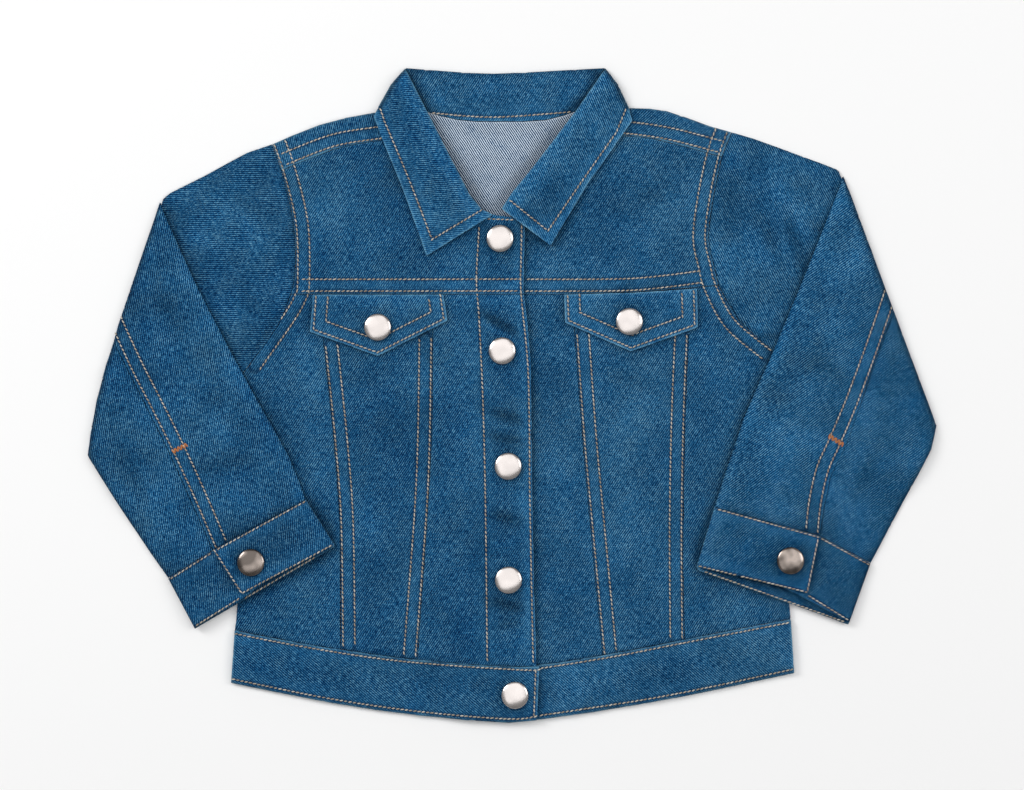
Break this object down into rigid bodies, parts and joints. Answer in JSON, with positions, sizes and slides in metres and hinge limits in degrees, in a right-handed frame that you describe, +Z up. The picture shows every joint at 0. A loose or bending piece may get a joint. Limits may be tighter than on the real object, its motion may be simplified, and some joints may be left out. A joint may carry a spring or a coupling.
{
  "type": "child's denim jacket laid flat",
  "caption": "Small child's denim jacket with a turned-down collar, yokes, flap pockets and hem band, buttoned and laid flat with its sleeves folded forward.",
  "frame": {"origin": "under the middle of the jacket's outline, on the surface it lies on", "axes": "+X to the wearer's left across the hem, +Y towards the collar, +Z up from the surface"},
  "size_m": [0.4666, 0.3596, 0.0121],
  "materials": {
    "denim": "washed cotton twill, matt, pale along its edges",
    "button": "satin nickel, domed",
    "cuff_button": "worn dark nickel, domed"
  },
  "bodies": {
    "root": {"back": "denim", "button_cuff_left": "cuff_button", "button_cuff_right": "cuff_button", "button_flap_left": "button", "button_flap_right": "button", "button_front_1": "button", "button_front_2": "button", "button_front_3": "button", "button_front_4": "button", "button_front_5": "button", "centre_panel_left": "denim", "centre_panel_right": "denim", "collar_fall": "denim", "collar_leaf_left": "denim", "collar_leaf_right": "denim", "collar_stand": "denim", "cuff_far_left": "denim", "cuff_far_right": "denim", "cuff_over_left": "denim", "cuff_over_right": "denim", "cuff_under_left": "denim", "cuff_under_right": "denim", "forearm_inner_left": "denim", "forearm_inner_right": "denim", "forearm_outer_left": "denim", "forearm_outer_right": "denim", "forearm_under_left": "denim", "forearm_under_right": "denim", "front_yoke_left": "denim", "front_yoke_right": "denim", "hem_band_back": "denim", "hem_band_left": "denim", "hem_band_right": "denim", "middle_panel_left": "denim", "middle_panel_right": "denim", "pocket_flap_left": "denim", "pocket_flap_right": "denim", "shoulder_strip_left": "denim", "shoulder_strip_right": "denim", "side_panel_left": "denim", "side_panel_right": "denim", "sleeve_under_left": "denim", "sleeve_under_right": "denim", "upper_sleeve_left": "denim", "upper_sleeve_right": "denim"}
  },
  "joints": []
}
